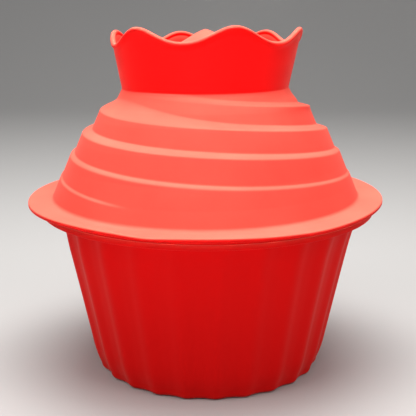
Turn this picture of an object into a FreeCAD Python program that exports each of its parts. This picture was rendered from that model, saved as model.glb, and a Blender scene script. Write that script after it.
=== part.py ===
"""Giant cupcake bakeware set in flexible silicone, closed as it is stored.

Three loose mouldings share one upright axis: a fluted base mould, a brimmed
filling insert that hangs inside it, and a swirled top mould that closes the
stack with its stand ring pointing up.

Units are millimetres. The origin is the centre of the underside of the base,
+Z is up and -Y is the front. Angles run from the front towards +X.
"""
import FreeCAD, Part
import math
import os

os.makedirs("parts", exist_ok=True)
doc = FreeCAD.newDocument("giant_cupcake_mould_set")

DIMENSIONS = [
    ("wall", 2.5),
    ("cup_height", 118.2),
    ("cup_top_radius", 104.8),
    ("cup_slope", 0.215),
    ("cup_curl", 0.0081),
    ("cup_curl_height", 20.0),
    ("cup_corner", 5.0),
    ("cup_floor_radius", 64.0),
    ("flute_count", 24),
    ("flute_depth", 2.4),
    ("flute_turn", 3.9),
    ("rim_radius", 116.5),
    ("rim_height", 3.8),
    ("rim_round", 1.3),
    ("insert_brim_radius", 112.0),
    ("insert_brim_thickness", 2.5),
    ("insert_mouth_radius", 62.0),
    ("insert_floor_radius", 47.0),
    ("insert_depth", 52.0),
    ("insert_corner", 12.0),
    ("insert_mouth_round", 1.0),
    ("flange_radius", 124.0),
    ("flange_thickness", 2.5),
    ("flange_top", 123.2),
    ("flange_round", 1.1),
    ("dome_foot_radius", 106.4),
    ("dome_neck_radius", 58.0),
    ("dome_neck_height", 76.3),
    ("dome_bow", 0.2),
    ("foot_round", 1.6),
    ("foot_rise", 3.0),
    ("skin_drop", 1.6),
    ("skin_inset", 2.3),
    ("neck_run", 4.0),
    ("swirl_total", 16.9),
    ("swirl_starts", 2),
    ("swirl_rise", 15.3),
    ("swirl_first", 61.8),
    ("swirl_foot", 10.0),
    ("swirl_growth", 56.0),
    ("swirl_full", 63.0),
    ("swirl_ending", 12.0),
    ("ledge_base", 2.8),
    ("ledge_growth", 0.03),
    ("tip_foot_radius", 53.8),
    ("tip_height", 115.6),
    ("tip_power", 0.72),
    ("tip_swirl", 2.2),
    ("tip_swirl_run", 10.0),
    ("crown_foot_radius", 57.4),
    ("crown_flare", 0.21),
    ("crown_wall", 2.3),
    ("crown_mean_height", 111.2),
    ("crown_scallops", 6),
    ("crown_scallop_depth", 9.7),
    ("crown_turn", 17.0),
    ("crown_bead", 1.4),
    ("crown_bead_height", 3.0),
    ("crown_run", 4.0),
    ("crown_sink", 0.6),
    ("pole_reach", 1.06),
]


def make_sheet():
    """One row for each size, with the value aliased by its own name."""
    table = doc.addObject("Spreadsheet::Sheet", "sizes")
    for row, (name, value) in enumerate(DIMENSIONS, start=1):
        table.set("A%d" % row, name)
        table.set("B%d" % row, str(value))
        table.setAlias("B%d" % row, name)
    doc.recompute()
    return table


sheet = make_sheet()


def size(name):
    """A size read back from the sheet as a number."""
    return float(sheet.get(name))


# ---------------------------------------------------------------- surfaces

def polar(angle, radius, height):
    """Point at an angle in degrees from the front, turning towards +X."""
    turn = math.radians(angle)
    return FreeCAD.Vector(radius * math.sin(turn), -radius * math.cos(turn), height)


def clamped_knots(count):
    """Knots and multiplicities of a clamped cubic with this many poles."""
    inner = count - 4
    knots = [float(i) for i in range(inner + 2)]
    mults = [4] + [1] * inner + [4]
    return knots, mults


def ring_knots(count):
    """Knots and multiplicities of a closed cubic with this many poles."""
    knots = [float(i) for i in range(count + 1)]
    mults = [1] * (count + 1)
    return knots, mults


def side_surface(steps, section):
    """Face that passes round Z through the section's points at each angle."""
    angles = [360.0 * i / steps for i in range(steps)]
    poles = []
    for angle in angles:
        poles.append([polar(angle, r, z) for r, z in section(angle)])
    around, around_mults = ring_knots(steps)
    along, along_mults = clamped_knots(len(poles[0]))
    surface = Part.BSplineSurface()
    surface.buildFromPolesMultsKnots(
        poles, around_mults, along_mults, around, along, True, False, 3, 3)
    return surface.toShape()


def level_rings(side):
    """The face's level boundary edges as wires, widest first."""
    edges = [edge for edge in side.Edges if edge.BoundBox.ZLength < 0.001]
    edges.sort(key=lambda edge: -edge.BoundBox.XLength)
    return [Part.Wire([edge]) for edge in edges]


def closed_solid(faces):
    """Sewn solid with its faces turned outwards."""
    shell = Part.Shell(faces)
    shell.sewShape()
    solid = Part.Solid(shell)
    if solid.Volume < 0:
        solid.reverse()
    return solid


def revolved_grid(steps, levels, radius):
    """Solid between two level discs, its side at radius(angle, level)."""
    def section(angle):
        return [(radius(angle, level), level[0]) for level in levels]

    side = side_surface(steps, section)
    caps = [Part.Face(ring) for ring in level_rings(side)]
    return closed_solid([side] + caps)


def standing_ring(steps, section):
    """Solid ring on a level annular foot, its section open at the foot."""
    side = side_surface(steps, section)
    foot = Part.Face(level_rings(side))
    return closed_solid([side, foot])


def add_shape(name, shape):
    """Keep a computed shape as an object of the document."""
    item = doc.addObject("Part::Feature", name)
    item.Shape = shape
    return item


def add_disc(name, radius, height, bottom):
    """Upright cylinder on the Z axis, its sizes bound to the sheet."""
    item = doc.addObject("Part::Cylinder", name)
    item.setExpression("Radius", "sizes.%s" % radius)
    item.setExpression("Height", "sizes.%s" % height)
    item.setExpression("Placement.Base.z", bottom)
    doc.recompute()
    return item


def round_edges(name, base, rounding):
    """Round both circular edges of a disc."""
    item = doc.addObject("Part::Fillet", name)
    item.Base = base
    item.Edges = [
        (number, rounding, rounding)
        for number, edge in enumerate(base.Shape.Edges, start=1)
        if edge.Closed
    ]
    doc.recompute()
    return item


def fuse(name, members):
    """Join overlapping members."""
    item = doc.addObject("Part::MultiFuse", name)
    item.Shapes = members
    doc.recompute()
    return item


def cut(name, base, tool):
    """Remove the tool from the base."""
    item = doc.addObject("Part::Cut", name)
    item.Base = base
    item.Tool = tool
    doc.recompute()
    return item


# --------------------------------------------------------------- base mould

def cup_side(height):
    """Mean outer radius of the fluted wall, which curls in towards the floor."""
    straight = size("cup_top_radius") - size("cup_slope") * (size("cup_height") - height)
    return straight - size("cup_curl") * max(size("cup_curl_height") - height, 0.0) ** 2


def wall_levels(floor_height, inset, top):
    """Poles (height, radius, flute share) of one skin: floor, tight corner, wall."""
    floor = size("cup_floor_radius")
    corner = size("cup_corner")
    start = floor_height + 0.9 * corner
    foot = cup_side(start) - inset
    levels = [
        (floor_height, floor, 0.0),
        (floor_height, foot - 1.4 * corner, 0.7),
        (floor_height + 0.06 * corner, foot - 0.45 * corner, 1.0),
        (floor_height + 0.4 * corner, foot - 0.12 * corner, 1.0),
        (start, foot, 1.0),
    ]
    rows = 10
    for i in range(1, rows + 1):
        height = start + (top - start) * i / rows
        levels.append((height, cup_side(height) - inset, 1.0))
    return levels


def cup_levels():
    """Outer skin, from the underside to just below the top of the rim."""
    return wall_levels(0.0, 0.0, size("cup_height") - 1.0)


def hollow_levels():
    """Inner skin, one wall inside and running out through the mouth."""
    return wall_levels(size("wall"), size("wall"), size("cup_height") + 6.0)


def flute(angle):
    """Height of the fluting wave, from -1 in a valley to +1 on a ridge."""
    phase = math.radians(size("flute_count") * (angle - size("flute_turn")))
    return math.cos(phase)


def fluted_radius(angle, level):
    """Radius of the fluted wall; the share flattens the flutes at the floor."""
    smoothing = 1.2
    return level[1] + 0.5 * smoothing * size("flute_depth") * level[2] * flute(angle)


def make_base_mould():
    steps = int(6 * size("flute_count"))
    skin = add_shape("base_skin", revolved_grid(steps, cup_levels(), fluted_radius))
    hollow = add_shape("base_hollow", revolved_grid(steps, hollow_levels(), fluted_radius))
    disc = add_disc("base_rim_disc", "rim_radius", "rim_height",
                    "sizes.cup_height - sizes.rim_height")
    rim = round_edges("base_rim", disc, size("rim_round"))
    body = fuse("base_body", [skin, rim])
    return cut("base_mould", body, hollow)


# ----------------------------------------------------------- filling insert

def insert_outline():
    """Half section of the insert as (radius, height) with sheet expressions."""
    under = "sizes.cup_height"
    upper = "(sizes.cup_height + sizes.insert_brim_thickness)"
    floor = "(sizes.cup_height + sizes.insert_brim_thickness - sizes.insert_depth)"
    return [
        ("0", floor),
        ("(sizes.insert_floor_radius - sizes.wall)", floor),
        ("(sizes.insert_mouth_radius - sizes.wall)", upper),
        ("sizes.insert_brim_radius", upper),
        ("sizes.insert_brim_radius", under),
        ("sizes.insert_mouth_radius", under),
        ("sizes.insert_floor_radius", "(%s - sizes.wall)" % floor),
        ("0", "(%s - sizes.wall)" % floor),
    ]


def rough_values():
    """Numbers close to the expressions, so the sketch starts in shape."""
    floor = size("cup_height") + size("insert_brim_thickness") - size("insert_depth")
    upper = size("cup_height") + size("insert_brim_thickness")
    radii = [
        0.0,
        size("insert_floor_radius") - size("wall"),
        size("insert_mouth_radius") - size("wall"),
        size("insert_brim_radius"),
        size("insert_brim_radius"),
        size("insert_mouth_radius"),
        size("insert_floor_radius"),
        0.0,
    ]
    under = size("cup_height")
    below = floor - size("wall")
    heights = [floor, floor, upper, upper, under, under, below, below]
    return list(zip(radii, heights))


def origin_plane(body, role):
    """The origin plane of a body with the given role."""
    for feature in body.Origin.OriginFeatures:
        if feature.Role == role:
            return feature
    raise ValueError(role)


def add_insert_sketch(body):
    """Closed half section on the XZ plane, each corner placed by the sheet."""
    import Sketcher
    sketch = body.newObject("Sketcher::SketchObject", "insert_section")
    sketch.AttachmentSupport = [(origin_plane(body, "XZ_Plane"), "")]
    sketch.MapMode = "FlatFace"
    outline = insert_outline()
    corners = [FreeCAD.Vector(r, z, 0) for r, z in rough_values()]
    count = len(corners)
    for i in range(count):
        start = corners[i]
        end = corners[(i + 1) % count]
        sketch.addGeometry(Part.LineSegment(start, end), False)
    for i in range(count):
        sketch.addConstraint(Sketcher.Constraint("Coincident", i, 2, (i + 1) % count, 1))
    for i, (radius, height) in enumerate(outline):
        if radius == "0":
            sketch.addConstraint(Sketcher.Constraint("PointOnObject", i, 1, -2))
        else:
            place = sketch.addConstraint(
                Sketcher.Constraint("DistanceX", -1, 1, i, 1, corners[i].x))
            sketch.setExpression("Constraints[%d]" % place, radius)
        place = sketch.addConstraint(
            Sketcher.Constraint("DistanceY", -1, 1, i, 1, corners[i].y))
        sketch.setExpression("Constraints[%d]" % place, height)
    doc.recompute()
    return sketch


def circle_edges(shape, height):
    """Names of the full circular edges at a height."""
    names = []
    for number, edge in enumerate(shape.Edges, start=1):
        box = edge.BoundBox
        flat = box.ZLength < 0.01 and abs(box.ZMin - height) < 0.01
        if flat and edge.Closed:
            names.append("Edge%d" % number)
    return names


def make_filling_insert():
    body = doc.addObject("PartDesign::Body", "filling_insert")
    sketch = add_insert_sketch(body)
    turn = body.newObject("PartDesign::Revolution", "insert_turn")
    turn.Profile = sketch
    turn.ReferenceAxis = (sketch, ["V_Axis"])
    turn.Angle = 360.0
    doc.recompute()
    floor = size("cup_height") + size("insert_brim_thickness") - size("insert_depth")
    outer = body.newObject("PartDesign::Fillet", "insert_outer_corner")
    outer.Base = (turn, circle_edges(turn.Shape, floor - size("wall")))
    outer.setExpression("Radius", "sizes.insert_corner + sizes.wall")
    doc.recompute()
    inner = body.newObject("PartDesign::Fillet", "insert_inner_corner")
    inner.Base = (outer, circle_edges(outer.Shape, floor))
    inner.setExpression("Radius", "sizes.insert_corner")
    doc.recompute()
    brim = body.newObject("PartDesign::Fillet", "insert_mouth_corner")
    brim.Base = (inner, circle_edges(inner.Shape, size("cup_height")))
    brim.setExpression("Radius", "sizes.insert_mouth_round")
    body.Tip = brim
    doc.recompute()
    return body


# ---------------------------------------------------------------- top mould

def smooth_step(value):
    """Zero below 0, one above 1, with an eased passage between."""
    x = min(max(value, 0.0), 1.0)
    return x * x * (3.0 - 2.0 * x)


def dome_core(height):
    """Radius of the dome without the swirl; heights are above the flange."""
    share = max(height, 0.0) / size("dome_neck_height")
    foot = size("dome_foot_radius") - size("swirl_total")
    straight = foot + (size("dome_neck_radius") - foot) * share
    return straight + size("dome_bow") * math.sin(math.pi * share)


def tip_core(height):
    """Radius of the rounded cone that tops the dome inside the stand ring."""
    neck = size("dome_neck_height")
    share = (height - neck) / (size("tip_height") - neck)
    return size("tip_foot_radius") * max(1.0 - share, 0.0) ** size("tip_power")


def ridge_weight(height):
    """Share of the swirl that a ridge takes: most near the neck, nil at the foot."""
    grown = smooth_step((height - size("swirl_foot")) / size("swirl_growth"))
    ended = smooth_step((height - size("swirl_full")) / size("swirl_ending"))
    return grown * (1.0 - ended)


def ridge_height(angle, number):
    """Height of one ridge of the swirl, which climbs towards -X round the front."""
    turn = (angle + 90.0) / (360.0 / size("swirl_starts"))
    return size("swirl_first") - size("swirl_rise") * (number + turn)


def dome_radius(angle, height):
    """Outer radius of the swirled dome."""
    passed = 0.0
    total = 0.0
    for number in range(-4, 7):
        ridge = ridge_height(angle, number)
        weight = ridge_weight(ridge)
        ledge = size("ledge_base") + size("ledge_growth") * max(ridge, 0.0)
        passed += weight * smooth_step((ridge + ledge - height) / ledge)
        total += weight
    return dome_core(height) + size("swirl_total") * passed / total


def tip_radius(angle, height):
    """Outer radius of the tip, with a soft continuation of the swirl."""
    ridge = ridge_height(angle, 0)
    phase = 2.0 * math.pi * (height - ridge) / size("swirl_rise")
    inside = smooth_step((height - size("dome_neck_height")) / size("tip_swirl_run"))
    ending = smooth_step((size("tip_height") - height) / size("tip_swirl_run") - 0.2)
    wave = 0.5 * size("tip_swirl") * inside * ending * math.sin(phase)
    return tip_core(height) - wave


def outer_dome_radius(angle, level):
    """Outer skin with a soft foot where the dome meets the flange."""
    height = level[0] - size("flange_top")
    foot = size("foot_round") * (1.0 - smooth_step(height / size("foot_rise")))
    return dome_radius(angle, max(height, 0.0)) + foot


def outer_tip_radius(angle, level):
    """Outer skin of the tip."""
    return tip_radius(angle, level[0] - size("flange_top"))


def inner_dome_radius(angle, level):
    """Inner skin of dome and tip, one wall inside the outer one."""
    height = max(level[0] - size("flange_top") + size("skin_drop"), 0.0)
    share = smooth_step((height - size("dome_neck_height")) / size("neck_run") + 1.0)
    radius = (1.0 - share) * dome_radius(angle, height) + share * tip_radius(angle, height)
    return radius - size("skin_inset")


def dome_levels(start, end, step):
    """Even heights above the flange between two ends, as absolute levels."""
    count = int(round((end - start) / step))
    heights = [start + (end - start) * i / count for i in range(count + 1)]
    return [(height + size("flange_top"),) for height in heights]


def crown_section(angle):
    """Poles of the stand ring's section: up outside, over the bead and down inside."""
    neck = size("dome_neck_height")
    foot = neck - size("crown_sink")
    wave = size("pole_reach") * 0.5 * size("crown_scallop_depth")
    phase = math.radians(size("crown_scallops") * (angle - size("crown_turn")))
    top = size("crown_mean_height") + wave * math.cos(phase)
    middle = 0.5 * (neck + top)
    wall = size("crown_wall")
    bead = size("crown_bead")
    under_bead = top - size("crown_bead_height")
    run = size("crown_run")

    def point(height, shift):
        outside = size("crown_foot_radius") + size("crown_flare") * (height - neck)
        return (outside + shift, height + size("flange_top"))

    return [
        point(foot, 0.0),
        point(neck + run, 0.0),
        point(middle, 0.0),
        point(under_bead - run, 0.0),
        point(under_bead - 0.5 * bead, 0.0),
        point(under_bead, bead),
        point(top, bead),
        point(top + 0.5 * bead, -0.5 * wall),
        point(top, -wall - 0.5 * bead),
        point(under_bead, -wall),
        point(under_bead - run, -wall),
        point(middle, -wall),
        point(neck + run, -wall),
        point(foot, -wall),
    ]


def make_top_mould():
    neck = size("dome_neck_height")
    end = size("tip_height")
    skin = add_shape("dome_skin", revolved_grid(
        72, dome_levels(-1.2, neck, 1.7), outer_dome_radius))
    tip = add_shape("tip_skin", revolved_grid(
        72, dome_levels(neck - 1.0, end - 0.2, 2.0), outer_tip_radius))
    hollow = add_shape("dome_hollow", revolved_grid(
        72, dome_levels(-8.0, end - 0.9 - size("wall"), 1.7), inner_dome_radius))
    crown = add_shape("stand_ring", standing_ring(72, crown_section))
    disc = add_disc("flange_disc", "flange_radius", "flange_thickness",
                    "sizes.flange_top - sizes.flange_thickness")
    flange = round_edges("flange", disc, size("flange_round"))
    body = fuse("top_body", [skin, tip, flange, crown])
    return cut("top_mould", body, hollow)


# ------------------------------------------------------------------- output

def check_document():
    """Stop when an object failed or has no sound shape."""
    for item in doc.Objects:
        state = " ".join(item.State)
        if "Invalid" in state or "Error" in state:
            raise RuntimeError("%s is %s" % (item.Name, state))


def export_node(item):
    """Label, check and write one sub-part."""
    item.Label = item.Name
    shape = item.Shape
    if shape.isNull() or not shape.isValid():
        raise RuntimeError("%s has no valid shape" % item.Name)
    if len(shape.Solids) != 1:
        raise RuntimeError("%s has %d solids" % (item.Name, len(shape.Solids)))
    shape.exportStep("parts/%s.step" % item.Name)
    box = shape.BoundBox
    print(item.Name, "volume %.0f" % shape.Volume,
          "x %.1f..%.1f y %.1f..%.1f z %.1f..%.1f" % (
              box.XMin, box.XMax, box.YMin, box.YMax, box.ZMin, box.ZMax))


nodes = [make_base_mould(), make_filling_insert(), make_top_mould()]
doc.recompute()
check_document()
for node in nodes:
    export_node(node)
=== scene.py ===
"""Looks of the giant cupcake bakeware set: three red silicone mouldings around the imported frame.

Each moulding is one closed skin, built as rings of points round the upright axis. Heights and radii
are in millimetres in the functions that give the profiles, and go to metres when a mesh is made.
Angles run from the front (-Y) towards +X.
"""

import math

import bpy
import numpy as np
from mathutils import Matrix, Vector


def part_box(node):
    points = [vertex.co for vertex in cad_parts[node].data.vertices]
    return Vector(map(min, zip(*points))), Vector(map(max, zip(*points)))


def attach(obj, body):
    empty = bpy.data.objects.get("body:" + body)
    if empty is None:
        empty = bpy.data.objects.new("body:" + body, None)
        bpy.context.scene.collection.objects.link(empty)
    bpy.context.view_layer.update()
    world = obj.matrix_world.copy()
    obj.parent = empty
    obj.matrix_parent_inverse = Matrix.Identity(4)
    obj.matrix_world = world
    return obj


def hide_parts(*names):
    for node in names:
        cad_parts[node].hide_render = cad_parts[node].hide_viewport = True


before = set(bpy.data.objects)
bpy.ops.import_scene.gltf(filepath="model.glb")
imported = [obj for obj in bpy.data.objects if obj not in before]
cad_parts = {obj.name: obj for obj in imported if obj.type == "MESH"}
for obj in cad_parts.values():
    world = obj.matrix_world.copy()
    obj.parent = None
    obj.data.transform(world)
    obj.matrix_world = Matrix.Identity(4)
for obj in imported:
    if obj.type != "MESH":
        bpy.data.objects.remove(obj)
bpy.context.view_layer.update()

MM = 0.001


def node_size(node):
    """Lowest and highest corner of a CAD node in millimetres."""
    low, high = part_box(node)
    return [value / MM for value in low], [value / MM for value in high]


base_high = node_size("base_mould")[1]
insert_low, insert_high = node_size("filling_insert")
top_high = node_size("top_mould")[1]

WALL = 2.5
RIM_TOP = base_high[2]
RIM_RADIUS = base_high[0]
BRIM_TOP = insert_high[2]
# The visible brim reaches out to the rim's edge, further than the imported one.
BRIM_RADIUS = RIM_RADIUS - 0.1
FLANGE_TOP = BRIM_TOP + WALL
FLANGE_RADIUS = top_high[0]


# ------------------------------------------------------------------ helpers

def smooth_step(value):
    """0 below 0, 1 above 1, eased between."""
    x = np.clip(value, 0.0, 1.0)
    return x * x * (3.0 - 2.0 * x)


def bump(value, centre, width):
    """A soft hill of height 1."""
    return np.exp(-((value - centre) / width) ** 2)


def angle_gap(angle, centre):
    """Signed difference of two angles in degrees, between -180 and 180."""
    return (angle - centre + 180.0) % 360.0 - 180.0


def resample(r, z, count):
    """Points evenly spaced along each column's profile."""
    steps = np.hypot(np.diff(r, axis=0), np.diff(z, axis=0))
    length = np.vstack([np.zeros(r.shape[1]), np.cumsum(steps, axis=0)])
    new_r = np.empty((count, r.shape[1]))
    new_z = np.empty((count, r.shape[1]))
    for column in range(r.shape[1]):
        marks = np.linspace(0.0, length[-1, column], count)
        new_r[:, column] = np.interp(marks, length[:, column], r[:, column])
        new_z[:, column] = np.interp(marks, length[:, column], z[:, column])
    return new_r, new_z


def ring_mesh(name, angles, r, z, warp):
    """Closed mesh from rows of rings round the axis; the first and last rows shrink to a point."""
    rows, columns = r.shape
    turn = np.radians(angles)[None, :]
    x, y, z = warp(r * np.sin(turn), -r * np.cos(turn), z)
    grid = np.stack([x, y, z], axis=2)
    inner = grid[1:-1].reshape(-1, 3)
    ends = [grid[0].mean(axis=0), grid[-1].mean(axis=0)]
    points = np.vstack([inner, ends]) * MM
    rings = rows - 2
    first = rings * columns
    last = first + 1
    faces = []
    for column in range(columns):
        after = (column + 1) % columns
        faces.append((first, column, after))
        for ring in range(rings - 1):
            here = ring * columns
            below = here + columns
            faces.append((here + column, below + column, below + after, here + after))
        end = (rings - 1) * columns
        faces.append((end + column, last, end + after))
    mesh = bpy.data.meshes.new(name)
    mesh.from_pydata(points.tolist(), [], faces)
    mesh.polygons.foreach_set("use_smooth", [True] * len(mesh.polygons))
    mesh.update()
    piece = bpy.data.objects.new(name, mesh)
    bpy.context.scene.collection.objects.link(piece)
    return piece


def column_profile(points, columns):
    """The same (r, z) points in every column."""
    r = np.array([[point[0]] for point in points]) * np.ones((1, columns))
    z = np.array([[point[1]] for point in points]) * np.ones((1, columns))
    return r, z


def arc_points(centre_r, centre_z, radius, start, end, count):
    """Points on an arc; angles in degrees from outwards, turning upwards."""
    points = []
    for i in range(count):
        turn = math.radians(start + (end - start) * i / (count - 1))
        points.append((centre_r + radius * math.cos(turn), centre_z + radius * math.sin(turn)))
    return points


# -------------------------------------------------------------- dome and tip

# Heights of the top mould are above the flange's upper face.
NECK = 75.2
TIP_TOP = 114.9
TIP_FOOT_RADIUS = 53.0
TIP_ROUNDNESS = 0.76
TIP_SWIRL = 1.2
DOME_FOOT = 1.5
DOME_FOOT_RADIUS = 89.4
DOME_NECK_RADIUS = 58.0
DOME_BOW = 0.4
NECK_PULL = 0.4
NECK_PULL_START = 60.0
NECK_SPREAD_HEIGHT = 66.0
NECK_SPREAD_WIDTH = 4.0
SWIRL_RISE = 15.3
SWIRL_FIRST = 61.8
SWIRL_TOTAL = 17.6
LEDGE_HEIGHTS = [10.6, 11.7, 14.0, 24.0, 31.0, 39.0, 46.5, 54.0, 61.0, 66.0, 69.5, 74.0]
LEDGE_WIDTHS = [0.0, 0.8, 1.0, 1.3, 2.6, 4.4, 6.9, 7.6, 10.2, 4.4, 0.9, 0.0]


def dome_core(angle, height):
    """Dome radius without the swirl's ledges: a cone that spreads below the neck at the sides."""
    share = (height - DOME_FOOT) / (NECK - DOME_FOOT)
    straight = DOME_FOOT_RADIUS + (DOME_NECK_RADIUS - DOME_FOOT_RADIUS) * share
    bow = DOME_BOW * np.sin(math.pi * np.clip(share, 0.0, 1.0))
    sine = np.sin(np.radians(angle))
    spread = bump(height, NECK_SPREAD_HEIGHT, NECK_SPREAD_WIDTH)
    neck = (1.0 + 0.7 * sine) * sine ** 4 * spread
    neck = neck - NECK_PULL * smooth_step((height - NECK_PULL_START) / (NECK - NECK_PULL_START))
    return straight + bow + neck


def ledge_width(height):
    """How far a ridge stands out at a height: most near the neck, nil at the foot."""
    return np.interp(height, LEDGE_HEIGHTS, LEDGE_WIDTHS)


def ridge_height(angle, number):
    """Height of a ridge of the two-start swirl."""
    return SWIRL_FIRST - SWIRL_RISE * (number + (angle + 90.0) / 180.0)


def ledge_softness(angle, ridge):
    """1 where the left end of the top ledge melts into the dome, 0 elsewhere."""
    return bump(angle, -55.0, 42.0) * smooth_step((ridge - 48.0) / 6.0)


def ledge_step(share, soft):
    """Ledge in section, 0 at its inner corner to 1 at its outer edge; softness eases both ends."""
    x = np.clip(share, 0.0, 1.0)
    ease = 0.15 + 2.4 * soft
    eased = x * x * (1.0 + ease) / (x + ease)
    return 1.0 - (1.0 - eased) ** (1.6 - 0.5 * soft)


def dome_radius(angle, height):
    """Radius of the swirled dome at every angle and height."""
    passed = np.zeros(np.broadcast(angle, height).shape)
    total = np.zeros_like(passed)
    for number in range(-4, 7):
        ridge = ridge_height(angle, number)
        weight = ledge_width(ridge)
        soft = ledge_softness(angle, ridge)
        depth = np.clip(1.0 + 0.04 * ridge, 1.2, 2.8) + 8.0 * soft
        passed += weight * ledge_step((ridge + depth - height) / depth, soft)
        total += weight
    return dome_core(angle, height) + SWIRL_TOTAL * passed / total


def tip_radius(angle, height):
    """Radius of the tip inside the stand ring, where the swirl runs on softly."""
    share = np.clip((height - NECK) / (TIP_TOP - NECK), -0.2, 1.0)
    phase = 2.0 * math.pi * (height - ridge_height(angle, 0)) / SWIRL_RISE
    ease = smooth_step((height - NECK) / 8.0) * (1.0 - smooth_step((height - TIP_TOP + 14.0) / 12.0))
    return TIP_FOOT_RADIUS * (1.0 - share) ** TIP_ROUNDNESS - TIP_SWIRL * ease * np.sin(phase)


# --------------------------------------------------------------- stand ring

RING_FOOT_RADIUS = 57.4
RING_FLARE = 0.203
RING_WALL = 2.3
RING_TOP = 110.0
SCALLOP_DEPTH = 9.7
SCALLOP_COUNT = 6
SCALLOP_TURN = 17.0
BEAD_RADIUS = 1.85
BEAD_OUTSET = 0.35
BEAD_DROP = 3.6


def scallop(angle):
    """Edge wave of the stand ring, a little narrower at its peaks than in its valleys."""
    phase = np.radians(SCALLOP_COUNT * (angle - SCALLOP_TURN))
    return np.cos(phase) + 0.10 * np.cos(2.0 * phase)


def ring_edge(angle):
    """Height of the stand ring's edge above the flange."""
    return RING_TOP + 0.5 * SCALLOP_DEPTH * scallop(angle)


def ring_outside(height):
    """Outer radius of the flared wall."""
    return RING_FOOT_RADIUS + RING_FLARE * (height - NECK)


def bead_arc(edge):
    """Section of the beaded edge from its inside foot over the top to its outside foot."""
    centre_z = edge - BEAD_RADIUS
    centre_r = ring_outside(centre_z) - 0.5 * RING_WALL + BEAD_OUTSET
    r = []
    z = []
    for turn in np.linspace(218.0, -38.0, 15):
        r.append(centre_r + BEAD_RADIUS * math.cos(math.radians(turn)))
        z.append(centre_z + BEAD_RADIUS * math.sin(math.radians(turn)))
    return np.array(r), np.array(z)


# ---------------------------------------------------------------- top mould

TOP_COLUMNS = 320
TIP_ROWS = 22
TIP_ROW_EASE = 1.7
DOME_ROWS = 150
INNER_ROWS = 54
HOOD_ROWS = 20
FLANGE_EDGE = 1.0
INNER_WALL = 2.3
TIP_WALL = 1.6
# Rows crowd at the ring's foot, so that its corner with the dome shades crisply.
RING_SHARES = [0.0, 0.1, 0.2, 0.32, 0.44, 0.56, 0.68, 0.8, 0.9, 0.96, 0.99, 1.0]
# Sections as radius and height above the flange.
FLANGE_FOOT = [
    (107.2, 1.45), (107.7, 0.95), (108.6, 0.5), (110.2, 0.22),
    (113.0, 0.1), (116.0, 0.05), (120.0, 0.0),
]
FLANGE_UNDER = [
    (120.5, 0.3 - WALL), (118.0, -WALL), (112.0, -WALL),
    (105.4, -WALL), (104.4, -WALL + 0.3), (104.1, -WALL + 1.0),
]


def tip_rows(angles):
    """The outside of the tip, from its crown to the well inside the stand ring."""
    depth = (np.linspace(0.0, 1.0, TIP_ROWS) ** TIP_ROW_EASE)[:, None] * (TIP_TOP - NECK - 1.5)
    z = TIP_TOP - depth * np.ones((1, len(angles)))
    return tip_radius(angles[None, :], z), z


def ring_parts(angles):
    """The stand ring: the well's floor, up the inside, over the bead and down the outside."""
    edge = ring_edge(angles)
    well = [(53.1, NECK + 0.5), (53.9, NECK + 0.2), (54.7, NECK + 0.6)]
    share = np.linspace(0.0, 1.0, 12)[:, None]
    up_z = NECK + 1.8 + share * (edge[None, :] - BEAD_DROP - NECK - 1.8)
    bead = [bead_arc(value) for value in edge]
    bead_rows = (np.array([b[0] for b in bead]).T, np.array([b[1] for b in bead]).T)
    share = np.array(RING_SHARES)[:, None]
    down_z = edge[None, :] - BEAD_DROP - share * (edge[None, :] - BEAD_DROP - NECK - 0.5)
    return [
        column_profile(well, len(angles)),
        (ring_outside(up_z) - RING_WALL, up_z),
        bead_rows,
        (ring_outside(down_z), down_z),
    ]


def dome_rows(angles):
    """The outside of the dome, evenly spaced along each column so that the ledges stay crisp."""
    z = np.linspace(NECK, DOME_FOOT + 0.6, 900)[:, None] * np.ones((1, len(angles)))
    return resample(dome_radius(angles[None, :], z), z, DOME_ROWS)


def flange_rows(angles):
    """The flange from the dome's foot round its edge to the hollow's mouth."""
    centre = FLANGE_RADIUS - FLANGE_EDGE
    edge = arc_points(centre, -FLANGE_EDGE, FLANGE_EDGE, 90.0, 0.0, 6)
    edge += arc_points(centre, 0.1 - 2.0 * FLANGE_EDGE, FLANGE_EDGE, 0.0, -80.0, 6)
    return column_profile(FLANGE_FOOT + edge + FLANGE_UNDER, len(angles))


def hollow_parts(angles):
    """The inside of the dome and, above the neck, the inside of the tip."""
    inner_z = np.linspace(0.0, NECK - 5.0, 400)[:, None] * np.ones((1, len(angles)))
    inner_r = dome_radius(angles[None, :], inner_z + 1.6) - INNER_WALL
    share = 1.0 - (1.0 - np.linspace(0.0, 1.0, HOOD_ROWS)) ** TIP_ROW_EASE
    hood_z = NECK - 2.0 + (TIP_TOP - WALL - NECK + 2.0) * share
    hood_z = hood_z[:, None] * np.ones((1, len(angles)))
    hood_r = np.maximum(tip_radius(angles[None, :], hood_z + WALL) - TIP_WALL, 0.0)
    return [resample(inner_r, inner_z, INNER_ROWS), (hood_r, hood_z)]


def top_skin(angles):
    """Rows from the outer tip down over the ring and dome, round the flange and up inside."""
    parts = [tip_rows(angles)] + ring_parts(angles)
    parts += [dome_rows(angles), flange_rows(angles)] + hollow_parts(angles)
    r = np.vstack([part[0] for part in parts])
    z = np.vstack([part[1] for part in parts])
    return r, z


# How the soft top mould sits: lean in height per distance, ripples as height, angle, spread.
TOP_SHIFT = -1.1
RING_SHIFT = 0.3
RING_SHIFT_START = 75.0
RING_SHIFT_RUN = 30.0
LEAN_HEIGHTS = [12.0, 24.0, 39.0, 54.0, 62.0, 74.0, 108.0]
LEAN_BACK = [0.0, 0.01, 0.04, 0.056, 0.052, 0.028, 0.083]
BRIM_TILT = 0.3
RIPPLES = [
    (1.7, -38.0, 26.0), (0.9, 4.0, 18.0), (-0.8, -17.0, 6.0),
    (-0.25, 36.0, 8.0), (0.7, 66.0, 20.0), (-1.0, -128.0, 25.0),
]


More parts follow.
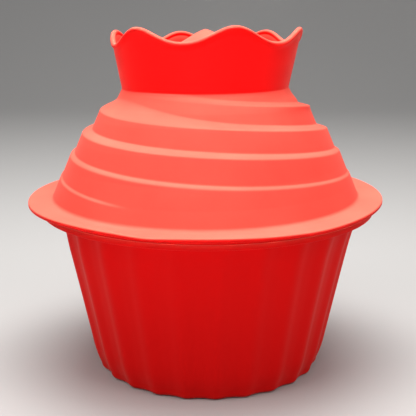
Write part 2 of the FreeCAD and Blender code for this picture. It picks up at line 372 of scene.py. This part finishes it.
def top_warp(x, y, z):
    """Softness of the top mould: it leans back and sideways, its brim tilts and ripples a little."""
    angle = np.degrees(np.arctan2(x, -y))
    radius = np.hypot(x, y)
    back = np.interp(z, LEAN_HEIGHTS, LEAN_BACK)
    side = 0.004 + 0.005 * smooth_step(z / 40.0)
    low = 1.0 - smooth_step((z - 18.0) / 24.0)
    brim = smooth_step((radius - 92.0) / 18.0)
    right = bump(angle_gap(angle, 90.0), 0.0, 40.0)
    left = bump(angle_gap(angle, -90.0), 0.0, 30.0)
    lift = BRIM_TILT * (right - left) * low
    ripple = sum(height * bump(angle, centre, spread) for height, centre, spread in RIPPLES)
    edge = smooth_step((radius - 112.0) / 11.0)
    z = z + back * (-y) + side * x + brim * lift + edge * ripple
    shift = TOP_SHIFT + RING_SHIFT * smooth_step((z - RING_SHIFT_START) / RING_SHIFT_RUN)
    return x + shift, y, z + FLANGE_TOP


def make_top_mould():
    angles = np.linspace(-180.0, 180.0, TOP_COLUMNS, endpoint=False)
    r, z = top_skin(angles)
    return ring_mesh("top_mould_skin", angles, r, z, top_warp)


# --------------------------------------------------------------- base mould

FLUTES = 24
FLUTE_TURN = 3.9
FLUTE_DEPTH = 2.0
BASE_COLUMNS = 384
BASE_SHIFT = 0.8
RIM_HEIGHT = 3.8
CUP_TOP_RADIUS = 106.0
CUP_SLOPE = 0.215
CUP_CURL = 0.0081
CUP_CURL_HEIGHT = 20.0
CUP_CORNER = 5.0
CUP_WALL_ROWS = 52
CUP_INNER_ROWS = 26
RIM_CORNER = 0.4
RIM_FOOT_CORNER = 0.8
RIM_SHIFT = -0.3
RIM_DROOP = 0.5
MOUTH_SHIFT = 1.1


def flute(angle):
    """Fluting in plan: narrow ridges at 1 and broad hollows at 0."""
    phase = np.radians(FLUTES * (angle - FLUTE_TURN))
    return (0.5 + 0.5 * np.cos(phase)) ** 1.5


def cup_ridge(height):
    """Radius over the flute ridges; the wall curls in a little towards the floor."""
    straight = CUP_TOP_RADIUS - CUP_SLOPE * (RIM_TOP - height)
    return straight - CUP_CURL * np.maximum(CUP_CURL_HEIGHT - height, 0.0) ** 2


def cup_corner(floor, inset, wave):
    """Tight fluted corner between wall and floor, from the wall down."""
    top = floor + CUP_CORNER
    foot = cup_ridge(top) - inset
    turn = np.radians(np.linspace(-14.0, -88.0, 12))[:, None]
    r = foot - CUP_CORNER + CUP_CORNER * np.cos(turn) - (1.0 - wave) * FLUTE_DEPTH
    z = top + CUP_CORNER * np.sin(turn) + 0.0 * wave
    return r, z


def rim_points():
    """Section of the rim from the cup's mouth round its edge to the wall below it."""
    under = RIM_TOP - RIM_HEIGHT
    points = [(103.4, RIM_TOP - 0.3), (104.4, RIM_TOP), (107.0, RIM_TOP), (111.0, RIM_TOP)]
    points += arc_points(RIM_RADIUS - RIM_CORNER, RIM_TOP - RIM_CORNER, RIM_CORNER, 90.0, 0.0, 4)
    foot = RIM_FOOT_CORNER
    points += arc_points(RIM_RADIUS - foot, under + foot, foot, 0.0, -90.0, 7)
    points += [(111.0, under), (107.4, under), (106.3, under - 0.2)]
    return points


def cup_skin(angles):
    """Rows from the inner floor's centre up inside, over the rim and down to the underside."""
    columns = len(angles)
    wave = flute(angles)[None, :]
    parts = [column_profile([(0.0, WALL), (20.0, WALL), (40.0, WALL), (60.0, WALL)], columns)]
    corner_r, corner_z = cup_corner(WALL, WALL, wave)
    parts.append((corner_r[::-1], corner_z[::-1]))
    rise = np.linspace(WALL + CUP_CORNER + 0.5, RIM_TOP - 1.0, CUP_INNER_ROWS)[:, None] + 0.0 * wave
    parts.append((cup_ridge(rise) - WALL - (1.0 - wave) * FLUTE_DEPTH, rise))
    parts.append(column_profile(rim_points(), columns))
    rim_foot = RIM_TOP - RIM_HEIGHT - 1.0
    fall = np.linspace(rim_foot, CUP_CORNER + 0.5, CUP_WALL_ROWS)[:, None] + 0.0 * wave
    parts.append((cup_ridge(fall) - (1.0 - wave) * FLUTE_DEPTH, fall))
    parts.append(cup_corner(0.0, 0.0, wave))
    parts.append(column_profile([(60.0, 0.0), (40.0, 0.0), (20.0, 0.0), (0.0, 0.0)], columns))
    r = np.vstack([part[0] for part in parts])
    z = np.vstack([part[1] for part in parts])
    return r, z


def base_warp(x, y, z):
    """Softness of the base: a little out of round, its mouth and rim shifted, its rim drooping."""
    angle = np.arctan2(x, -y)
    share = np.sin(math.pi * np.clip(z / RIM_TOP, 0.0, 1.0))
    stretch = 1.0 + 0.003 * share * np.cos(2.0 * angle + 0.6) + 0.002 * share * np.cos(3.0 * angle)
    rim = smooth_step((np.hypot(x, y) - 107.0) / 6.0)
    mouth = (1.0 - rim) * smooth_step((z - 90.0) / 26.0)
    shift = BASE_SHIFT + RIM_SHIFT * rim + MOUTH_SHIFT * mouth
    droop = RIM_DROOP * rim * bump(np.degrees(angle), -80.0, 40.0)
    return x * stretch + shift, y * stretch, z - droop


def make_base_mould():
    angles = np.linspace(-180.0, 180.0, BASE_COLUMNS, endpoint=False) + FLUTE_TURN
    r, z = cup_skin(angles)
    return ring_mesh("base_mould_skin", angles, r, z, base_warp)


# ----------------------------------------------------------- filling insert

INSERT_COLUMNS = 192
BOWL_FLOOR_RADIUS = 44.5
BOWL_MOUTH_RADIUS = 59.5
BOWL_CORNER = 12.0
BOWL_CORNER_CENTRE = BOWL_FLOOR_RADIUS - 10.5
BOWL_SPREAD = 12.4
BOWL_STEPS = 12
BRIM_CORNER = 0.4


def bowl_inside():
    """The bowl's inside, from the floor's centre up to the mouth."""
    floor = insert_low[2] + WALL
    points = [(0.0, floor), (15.0, floor), (28.0, floor)]
    points += arc_points(BOWL_CORNER_CENTRE, floor + BOWL_CORNER, BOWL_CORNER, -88.0, -14.0, 9)
    for i in range(BOWL_STEPS):
        share = (i + 1) / (BOWL_STEPS + 1.0)
        points.append((BOWL_FLOOR_RADIUS + 1.4 + share * BOWL_SPREAD, floor + 9.5 + share * 39.0))
    return points + [(BOWL_MOUTH_RADIUS + 0.3, BRIM_TOP - 0.6), (BOWL_MOUTH_RADIUS + 1.4, BRIM_TOP)]


def brim_section():
    """The brim: out along its top, round its edge and back along its underside."""
    under = BRIM_TOP - WALL
    edge = BRIM_RADIUS - BRIM_CORNER
    points = [(radius, BRIM_TOP) for radius in (70.0, 80.0, 92.0, 100.0)]
    points += arc_points(edge, BRIM_TOP - BRIM_CORNER, BRIM_CORNER, 90.0, 0.0, 4)
    points += arc_points(edge, BRIM_TOP - WALL + BRIM_CORNER, BRIM_CORNER, 0.0, -90.0, 4)
    points += [(radius, under) for radius in (100.0, 92.0, 80.0, 70.0, 63.8)]
    return points + [(62.6, under - 0.5), (61.9, under - 1.6)]


def bowl_outside():
    """The bowl's outside, from under the brim down to the centre of its underside."""
    floor = insert_low[2] + WALL
    under = BRIM_TOP - WALL
    points = []
    for i in range(BOWL_STEPS):
        share = (i + 1) / (BOWL_STEPS + 1.0)
        points.append((61.5 - share * BOWL_SPREAD, under - 2.5 - share * 38.0))
    points += arc_points(BOWL_CORNER_CENTRE, floor + BOWL_CORNER, BOWL_CORNER + WALL, -14.0, -88.0, 9)
    return points + [(radius, insert_low[2]) for radius in (28.0, 15.0, 0.0)]


def make_filling_insert():
    angles = np.linspace(-180.0, 180.0, INSERT_COLUMNS, endpoint=False)
    r, z = column_profile(bowl_inside() + brim_section() + bowl_outside(), INSERT_COLUMNS)
    return ring_mesh("filling_insert_skin", angles, r, z, lambda x, y, z: (x, y, z))


# ---------------------------------------------------------------- materials

def add_node(tree, kind, **values):
    """A shader node with some of its inputs set."""
    node = tree.nodes.new(kind)
    for name, value in values.items():
        node.inputs[name.replace("_", " ")].default_value = value
    return node


def map_range(tree, source, low, high, bottom, top, curve="LINEAR"):
    """Output socket that takes source from low..high to bottom..top."""
    node = add_node(tree, "ShaderNodeMapRange", From_Min=low, From_Max=high, To_Min=bottom, To_Max=top)
    node.interpolation_type = curve
    tree.links.new(source, node.inputs["Value"])
    return node.outputs["Result"]


def set_gloss(shader):
    """Satin, nearly matt gloss with a soft warm sheen at grazing angles."""
    shader.inputs["IOR"].default_value = 1.42
    shader.inputs["Specular IOR Level"].default_value = 0.03
    shader.inputs["Sheen Weight"].default_value = 0.12
    shader.inputs["Sheen Roughness"].default_value = 0.4
    shader.inputs["Sheen Tint"].default_value = (1.0, 0.62, 0.5, 1.0)


def silicone(name, deep, highlight_and_dust, highlight_and_dust_share):
    """Satin red silicone: deep colour, a pink on what faces up that is mostly painted highlight from
    the overhead light and partly powdery dust, a fine mould grain.
    """
    material = bpy.data.materials.new(name)
    material.use_nodes = True
    tree = material.node_tree
    shader = tree.nodes["Principled BSDF"]
    set_gloss(shader)
    link = tree.links.new
    place = tree.nodes.new("ShaderNodeTexCoord")
    geometry = tree.nodes.new("ShaderNodeNewGeometry")
    split = tree.nodes.new("ShaderNodeSeparateXYZ")
    link(geometry.outputs["Normal"], split.inputs[0])
    # Painted highlight: the more a surface faces up, the more it turns pink, standing in for overhead
    # light, with some powdery dust.
    highlight_and_dust_mask = map_range(tree, split.outputs["Z"], -0.12, 0.98, 0.0, highlight_and_dust_share, "SMOOTHSTEP")
    clouds = add_node(tree, "ShaderNodeTexNoise", Scale=22.0, Detail=4.0, Roughness=0.55)
    link(place.outputs["Object"], clouds.inputs["Vector"])
    mottle = map_range(tree, clouds.outputs["Fac"], 0.3, 0.7, 0.9, 1.1)
    share = tree.nodes.new("ShaderNodeMath")
    share.operation = "MULTIPLY"
    link(highlight_and_dust_mask, share.inputs[0])
    link(mottle, share.inputs[1])
    mix = tree.nodes.new("ShaderNodeMix")
    mix.data_type = "RGBA"
    mix.inputs["A"].default_value = deep
    mix.inputs["B"].default_value = highlight_and_dust
    link(share.outputs[0], mix.inputs["Factor"])
    link(mix.outputs["Result"], shader.inputs["Base Color"])
    rough = map_range(tree, clouds.outputs["Fac"], 0.0, 1.0, 0.5, 0.66)
    link(rough, shader.inputs["Roughness"])
    grain = add_node(tree, "ShaderNodeTexNoise", Scale=900.0, Detail=2.0, Roughness=0.5)
    link(place.outputs["Object"], grain.inputs["Vector"])
    bumps = add_node(tree, "ShaderNodeBump", Strength=0.25, Distance=0.0002)
    link(grain.outputs["Fac"], bumps.inputs["Height"])
    link(bumps.outputs["Normal"], shader.inputs["Normal"])
    return material


def plain(name, colour, roughness):
    """A matt studio surface."""
    material = bpy.data.materials.new(name)
    material.use_nodes = True
    shader = material.node_tree.nodes["Principled BSDF"]
    shader.inputs["Base Color"].default_value = colour
    shader.inputs["Roughness"].default_value = roughness
    return material


# ------------------------------------------------------------------- studio

# Points the lights aim at, in metres.
MIDDLE = (0.0, 0.0, 0.15)
CROWN = (0.0, 0.0, 0.235)
CUP = (0.0, 0.0, 0.12)
# The camera, in metres and degrees.
LENS = 82.21
CAMERA_SIDE = 0.0008
CAMERA_BACK = 0.6586
CAMERA_ABOVE_FLANGE = 0.1514
CAMERA_DOWN = 13.84


def make_floor():
    """A pale floor that curves up into a backdrop well behind the object."""
    half = 3.0
    front = -2.0
    back = 2.2
    bend = 0.9
    section = [(front, 0.0), (back - bend, 0.0)]
    for i in range(1, 13):
        turn = math.radians(90.0 * i / 12.0)
        section.append((back - bend + bend * math.sin(turn), bend - bend * math.cos(turn)))
    section.append((back, 3.0))
    points = []
    for y, z in section:
        points.append((-half, y, z))
        points.append((half, y, z))
    faces = [(2 * i, 2 * i + 1, 2 * i + 3, 2 * i + 2) for i in range(len(section) - 1)]
    mesh = bpy.data.meshes.new("studio_floor")
    mesh.from_pydata(points, [], faces)
    mesh.polygons.foreach_set("use_smooth", [True] * len(faces))
    floor = bpy.data.objects.new("studio_floor", mesh)
    bpy.context.scene.collection.objects.link(floor)
    mesh.materials.append(plain("studio_paper", (0.42, 0.415, 0.41, 1.0), 0.9))
    return floor


def add_light(name, place, aim, width, watts, spread=180.0):
    """A square soft light aimed at a point, with its beam's spread in degrees."""
    light = bpy.data.lights.new(name, "AREA")
    light.shape = "SQUARE"
    light.size = width
    light.energy = watts
    light.spread = math.radians(spread)
    light.color = (1.0, 0.98, 0.96)
    lamp = bpy.data.objects.new(name, light)
    lamp.location = place
    lamp.rotation_euler = (Vector(aim) - Vector(place)).to_track_quat("-Z", "Y").to_euler()
    bpy.context.scene.collection.objects.link(lamp)
    return lamp


def add_camera():
    """The camera looks a little down on the flange from in front."""
    data = bpy.data.cameras.new("view")
    data.sensor_width = 36.0
    data.lens = LENS
    data.clip_start = 0.01
    camera = bpy.data.objects.new("view", data)
    camera.location = (CAMERA_SIDE, -CAMERA_BACK, FLANGE_TOP * MM + CAMERA_ABOVE_FLANGE)
    camera.rotation_euler = (math.radians(90.0 - CAMERA_DOWN), 0.0, 0.0)
    bpy.context.scene.collection.objects.link(camera)
    bpy.context.scene.camera = camera
    return camera


def set_world():
    world = bpy.data.worlds.new("studio")
    world.use_nodes = True
    back = world.node_tree.nodes["Background"]
    back.inputs["Color"].default_value = (0.95, 0.97, 1.0, 1.0)
    back.inputs["Strength"].default_value = 0.2
    bpy.context.scene.world = world


# ----------------------------------------------------------------- assembly

# The pink is mostly a painted overhead highlight on up-facing surfaces and partly powdery dust.
deep_red = (0.66, 0.004, 0.004, 1.0)
highlight_and_dust_pink = (0.95, 0.185, 0.128, 1.0)

for maker, node, body in (
    (make_base_mould, "base_mould", "base"),
    (make_filling_insert, "filling_insert", "insert"),
    (make_top_mould, "top_mould", "top"),
):
    piece = maker()
    piece.data.materials.append(silicone(node + "_silicone", deep_red, highlight_and_dust_pink, 0.78))
    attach(piece, body)
    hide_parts(node)

make_floor()
add_light("overhead_soft", place=(0.0, 0.0, 1.1), aim=MIDDLE, width=0.9, watts=21.5)
add_light("left_soft", place=(-0.7, -0.6, 0.95), aim=MIDDLE, width=0.6, watts=6.6)
add_light("right_soft", place=(0.7, -0.6, 0.95), aim=MIDDLE, width=0.6, watts=5.2)
beam = add_light("crown_beam", place=(-0.15, -0.9, 0.17), aim=CROWN, width=0.2, watts=0.13, spread=16.0)
beam.visible_glossy = False
add_light("front_fill", place=(0.0, -1.3, 0.32), aim=CUP, width=0.5, watts=1.4)
set_world()
bpy.context.scene.view_settings.view_transform = "Standard"
add_camera()
